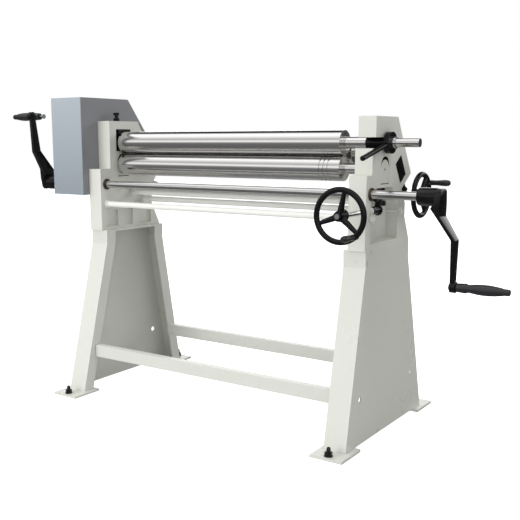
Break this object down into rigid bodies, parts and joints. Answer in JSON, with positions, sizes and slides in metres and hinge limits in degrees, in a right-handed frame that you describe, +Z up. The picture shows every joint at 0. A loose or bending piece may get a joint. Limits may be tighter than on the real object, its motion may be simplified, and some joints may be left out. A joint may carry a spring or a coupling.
{
  "type": "slip roll machine",
  "caption": "Hand-cranked slip roll that bends sheet metal, on a stand of folded legs: geared pinch rolls, an adjustable rear roll, handwheels at the right end and a gear cover at the left.",
  "frame": {"origin": "on the floor, at the centre of the four foot bolt holes", "axes": "+X along the rolls, gear cover at -X and handwheels at +X; +Y from the operator's front to the back; +Z up"},
  "size_m": [2.302, 0.8395, 1.243],
  "materials": {
    "frame_paint": "off-white satin machine paint",
    "cover_paint": "blue-grey satin paint",
    "polished_steel": "ground and polished",
    "machined_steel": "turned and milled, lightly oiled",
    "black_paint": "gloss black",
    "black_plastic": "smooth gloss",
    "dark_gear_steel": "dark and oiled",
    "bearing_iron": "milled",
    "bronze": "turned"
  },
  "bodies": {
    "base": {"leg_left": "frame_paint", "leg_right": "frame_paint", "foot_plates": "frame_paint", "rail_front": "frame_paint", "rail_rear": "frame_paint", "frame_left": "frame_paint", "frame_right": "frame_paint", "tie_bar_front": "frame_paint", "tie_bar_middle": "frame_paint", "tie_bar_rear": "frame_paint", "tie_nuts": "machined_steel", "drive_bushes": "bronze", "swivel_bracket": "frame_paint", "swivel_pin": "machined_steel", "clamp_screw": "black_paint", "clamp_nut": "black_paint", "gear_cover": "cover_paint", "cover_plate": "cover_paint"},
    "drive": {"drive_shaft": "polished_steel", "drive_pinion": "dark_gear_steel", "crank_right": "black_paint", "crank_left": "black_paint", "crank_pin_right": "machined_steel", "crank_pin_left": "machined_steel"},
    "right_grip": {"crank_grip_right": "black_plastic"},
    "left_grip": {"crank_grip_left": "black_plastic"},
    "upper_carrier": {"swivel_bearing": "bearing_iron"},
    "upper_roller": {"upper_roll": "polished_steel", "upper_gear": "dark_gear_steel", "roll_collar": "black_paint"},
    "latch": {"latch_bush": "black_paint", "latch_lever": "black_paint"},
    "lower_carriage": {"lower_bearing_left": "bearing_iron", "lower_bearing_right": "bearing_iron"},
    "lower_roller": {"lower_roll": "polished_steel", "lower_gear": "dark_gear_steel", "drive_wheel": "dark_gear_steel"},
    "front_handwheel": {"front_wheel": "black_paint", "front_wheel_nut": "black_paint", "hand_shaft": "machined_steel", "hand_pinion": "black_paint", "front_wheel_pin": "machined_steel"},
    "front_handwheel_grip": {"front_wheel_grip": "black_plastic"},
    "right_lift": {"lift_screw_right": "dark_gear_steel"},
    "left_lift": {"lift_screw_left": "dark_gear_steel"},
    "lift_cross": {"lift_cross_shaft": "machined_steel", "lift_cross_gears": "dark_gear_steel"},
    "rear_carriage": {"rear_bearing_left": "bearing_iron", "rear_bearing_right": "bearing_iron"},
    "rear_roller": {"rear_roll": "polished_steel"},
    "rear_handwheel": {"rear_wheel": "black_paint", "rear_wheel_nut": "black_paint", "rear_cross_shaft": "machined_steel", "rear_cross_gears": "dark_gear_steel", "rear_wheel_pin": "machined_steel"},
    "rear_handwheel_grip": {"rear_wheel_grip": "black_plastic"},
    "right_rear_lift": {"rear_screw_right": "dark_gear_steel"},
    "left_rear_lift": {"rear_screw_left": "dark_gear_steel"}
  },
  "joints": [
    {"name": "crank_turn", "type": "hinge", "parent": "base", "child": "drive", "pos_m": [0, -0.153, 0.884], "axis": [1, 0, 0], "continuous": true},
    {"name": "right_grip_spin", "type": "hinge", "parent": "drive", "child": "right_grip", "pos_m": [0.957, -0.153, 0.594], "axis": [1, 0, 0], "continuous": true},
    {"name": "left_grip_spin", "type": "hinge", "parent": "drive", "child": "left_grip", "pos_m": [-1.001, -0.12269, 1.17241], "axis": [1, 0, 0], "continuous": true},
    {"name": "upper_roll_swing", "type": "hinge", "parent": "base", "child": "upper_carrier", "pos_m": [-0.664, -0.045, 1.1], "axis": [0, 0, -1], "range_deg": [0, 6]},
    {"name": "upper_roll_spin", "type": "hinge", "parent": "upper_carrier", "child": "upper_roller", "pos_m": [0, -0.045, 1.057], "axis": [1, 0, 0], "continuous": true},
    {"name": "latch_turn", "type": "hinge", "parent": "upper_carrier", "child": "latch", "pos_m": [0.657, -0.045, 1.057], "axis": [-1, 0, 0], "range_deg": [0, 90]},
    {"name": "lower_roll_lift", "type": "slide", "parent": "base", "child": "lower_carriage", "axis": [0, 0, 1], "range_m": [-0.002, 0.001]},
    {"name": "lower_roll_spin", "type": "hinge", "parent": "lower_carriage", "child": "lower_roller", "pos_m": [0, -0.045, 0.9655], "axis": [1, 0, 0], "continuous": true},
    {"name": "front_handwheel_turn", "type": "hinge", "parent": "base", "child": "front_handwheel", "pos_m": [0.63, -0.354, 0.825], "axis": [0, 1, 0], "range_deg": [-361, 181]},
    {"name": "front_grip_spin", "type": "hinge", "parent": "front_handwheel", "child": "front_handwheel_grip", "pos_m": [0.68432, -0.3635, 0.76027], "axis": [0, 1, 0], "continuous": true},
    {"name": "right_lift_screw_turn", "type": "hinge", "parent": "base", "child": "right_lift", "pos_m": [0.63, -0.045, 0.85], "axis": [0, 0, 1], "range_deg": [-361, 181]},
    {"name": "lift_cross_turn", "type": "hinge", "parent": "base", "child": "lift_cross", "pos_m": [0, -0.045, 0.871], "axis": [1, 0, 0], "range_deg": [-181, 361]},
    {"name": "left_lift_screw_turn", "type": "hinge", "parent": "base", "child": "left_lift", "pos_m": [-0.6215, -0.045, 0.85], "axis": [0, 0, 1], "range_deg": [-181, 361]},
    {"name": "rear_roll_slide", "type": "slide", "parent": "base", "child": "rear_carriage", "axis": [0, 0.5592, -0.829], "range_m": [-0.008, 0.077]},
    {"name": "rear_roll_spin", "type": "hinge", "parent": "rear_carriage", "child": "rear_roller", "pos_m": [0, 0.0505, 1.022], "axis": [1, 0, 0], "continuous": true},
    {"name": "rear_handwheel_turn", "type": "hinge", "parent": "base", "child": "rear_handwheel", "pos_m": [0.7005, 0.15451, 0.8678], "axis": [1, 0, 0], "range_deg": [-721, 6931]},
    {"name": "rear_grip_spin", "type": "hinge", "parent": "rear_handwheel", "child": "rear_handwheel_grip", "pos_m": [0.71, 0.21472, 0.90996], "axis": [1, 0, 0], "continuous": true},
    {"name": "right_rear_screw_turn", "type": "hinge", "parent": "base", "child": "right_rear_lift", "pos_m": [0.63, 0.15451, 0.8678], "axis": [0, -0.5592, 0.829], "range_deg": [-721, 6931]},
    {"name": "left_rear_screw_turn", "type": "hinge", "parent": "base", "child": "left_rear_lift", "pos_m": [-0.6215, 0.15451, 0.8678], "axis": [0, -0.5592, 0.829], "range_deg": [-6931, 721]}
  ],
  "couplings": [
    {"joint": "upper_roll_spin", "follows": "crank_turn", "ratio": 0.375},
    {"joint": "lower_roll_spin", "follows": "crank_turn", "ratio": -0.375},
    {"joint": "front_handwheel_turn", "follows": "lower_roll_lift", "rad_per_m": 3141.6},
    {"joint": "right_lift_screw_turn", "follows": "lower_roll_lift", "rad_per_m": 3141.6},
    {"joint": "lift_cross_turn", "follows": "lower_roll_lift", "rad_per_m": -3141.6},
    {"joint": "left_lift_screw_turn", "follows": "lower_roll_lift", "rad_per_m": -3141.6},
    {"joint": "rear_handwheel_turn", "follows": "rear_roll_slide", "rad_per_m": 1570.8},
    {"joint": "right_rear_screw_turn", "follows": "rear_roll_slide", "rad_per_m": 1570.8},
    {"joint": "left_rear_screw_turn", "follows": "rear_roll_slide", "rad_per_m": -1570.8}
  ]
}
